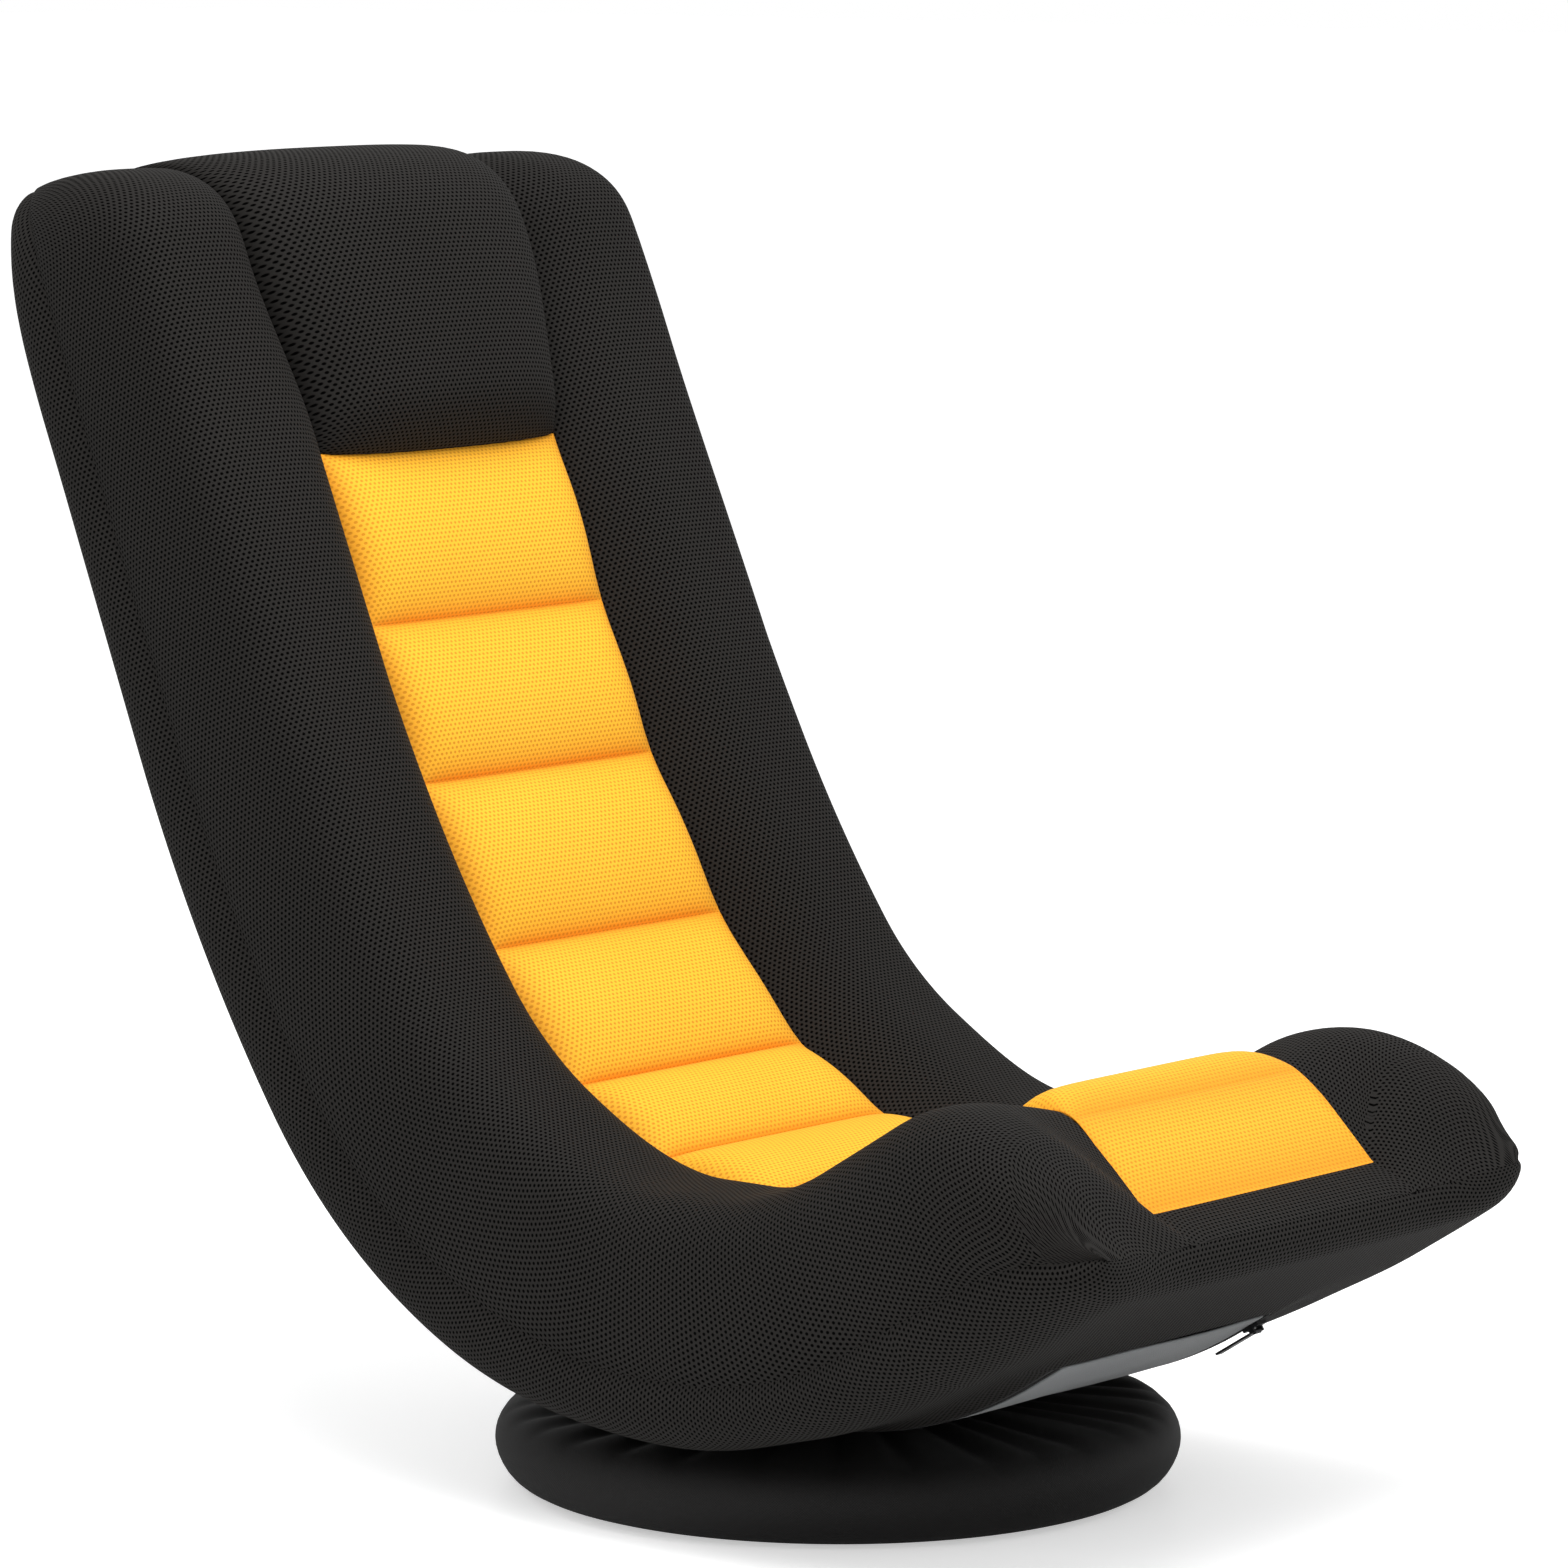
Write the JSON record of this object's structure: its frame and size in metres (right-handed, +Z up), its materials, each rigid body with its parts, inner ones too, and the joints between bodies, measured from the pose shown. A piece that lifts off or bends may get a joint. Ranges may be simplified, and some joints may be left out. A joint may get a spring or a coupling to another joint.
{
  "type": "swivel floor chair",
  "caption": "Cushioned floor chair on a round swivel base: the back reclines and folds forward on a ratchet hinge over a tubular frame.",
  "frame": {"origin": "on the swivel axis, at the level of the floor under the feet", "axes": "+X across the chair, towards the sitter's left; +Y towards the back, so the chair faces -Y; +Z up"},
  "size_m": [0.476, 0.8869, 0.814],
  "materials": {
    "black_mesh": "matte spacer mesh",
    "yellow_mesh": "matte spacer mesh",
    "foam": "open foam",
    "grey_backing": "matte non-woven cloth",
    "black_tape": "woven zip tape with a coil",
    "webbing": "woven webbing",
    "base_cloth": "fine knit",
    "board": "raw fibreboard",
    "rubber": "matte",
    "black_steel": "satin powder coat",
    "bright_steel": "zinc plated",
    "cage_plastic": "natural nylon",
    "black_metal": "black enamel"
  },
  "bodies": {
    "base": {"base_board": "board", "base_foam_ring": "foam", "base_cover": "base_cloth", "base_feet": "rubber", "base_hub": "black_steel", "hub_bolts": "bright_steel", "turntable_lower": "bright_steel", "turntable_balls": "bright_steel", "turntable_cage": "cage_plastic", "turntable_rivet": "bright_steel", "turntable_bolts": "bright_steel"},
    "seat": {"turntable_upper": "bright_steel", "seat_mount": "black_steel", "mount_bolts": "bright_steel", "seat_rails": "black_steel", "seat_front_tube": "black_steel", "seat_cross_bars": "black_steel", "seat_straps": "webbing", "seat_foam": "foam", "seat_base_foam": "foam", "seat_bolster_left": "black_mesh", "seat_bolster_right": "black_mesh", "seat_insert": "yellow_mesh", "seat_nose": "black_mesh", "seat_panel": "grey_backing", "seat_zips": "black_tape", "hinge_plates_seat": "bright_steel", "hinge_pins": "bright_steel", "hinge_washers": "bright_steel", "pawl_pins": "bright_steel", "pawl_springs": "bright_steel", "bend_bolsters": "black_mesh", "bend_insert": "yellow_mesh", "bend_foam": "foam", "bend_panel": "grey_backing", "bend_zips": "black_tape"},
    "back": {"hinge_plates_back": "bright_steel", "back_rails": "black_steel", "back_top_tube": "black_steel", "back_cross_bars": "black_steel", "back_straps": "webbing", "back_foam": "foam", "back_base_foam": "foam", "back_bolster_left": "black_mesh", "back_bolster_right": "black_mesh", "back_insert": "yellow_mesh", "headrest_pillow": "black_mesh", "back_panel": "grey_backing", "back_zips": "black_tape"},
    "pawl_l": {"pawl_left": "bright_steel"},
    "pawl_r": {"pawl_right": "bright_steel"},
    "seat_slider": {"seat_zip_slider": "black_metal"},
    "seat_pull": {"seat_zip_pull": "black_metal"},
    "back_slider": {"back_zip_slider": "black_metal"},
    "back_pull": {"back_zip_pull": "black_metal"}
  },
  "joints": [
    {"name": "swivel", "type": "hinge", "parent": "base", "child": "seat", "pos_m": [0, 0, 0.045], "axis": [0, 0, 1], "continuous": true},
    {"name": "recline", "type": "hinge", "parent": "seat", "child": "back", "pos_m": [0, 0.18499, 0.28522], "axis": [1, 0, 0], "range_deg": [-16, 102], "deforming": ["bend_bolsters", "bend_insert", "bend_foam", "bend_panel", "bend_zips"]},
    {"name": "pawl_lift_left", "type": "hinge", "parent": "seat", "child": "pawl_l", "pos_m": [0, 0.17438, 0.25609], "axis": [-1, 0, 0], "range_deg": [0, 10], "stiffness_Nm_per_rad": 0.02, "springref_deg": -5.73},
    {"name": "pawl_lift_right", "type": "hinge", "parent": "seat", "child": "pawl_r", "pos_m": [0, 0.17438, 0.25609], "axis": [-1, 0, 0], "range_deg": [0, 10], "stiffness_Nm_per_rad": 0.02, "springref_deg": -5.73},
    {"name": "seat_zip_slide", "type": "slide", "parent": "seat", "child": "seat_slider", "axis": [0, 0.848, -0.5299], "range_m": [0, 0.03]},
    {"name": "seat_pull_swing", "type": "hinge", "parent": "seat_slider", "child": "seat_pull", "pos_m": [0.1033, -0.24578, 0.10834], "axis": [-1, 0, 0], "range_deg": [0, 120]},
    {"name": "back_zip_slide", "type": "slide", "parent": "back", "child": "back_slider", "axis": [0, -0.3665, -0.9304], "range_m": [0, 0.15]},
    {"name": "back_pull_swing", "type": "hinge", "parent": "back_slider", "child": "back_pull", "pos_m": [0.1033, 0.45495, 0.60712], "axis": [1, 0, 0], "range_deg": [0, 120]}
  ]
}
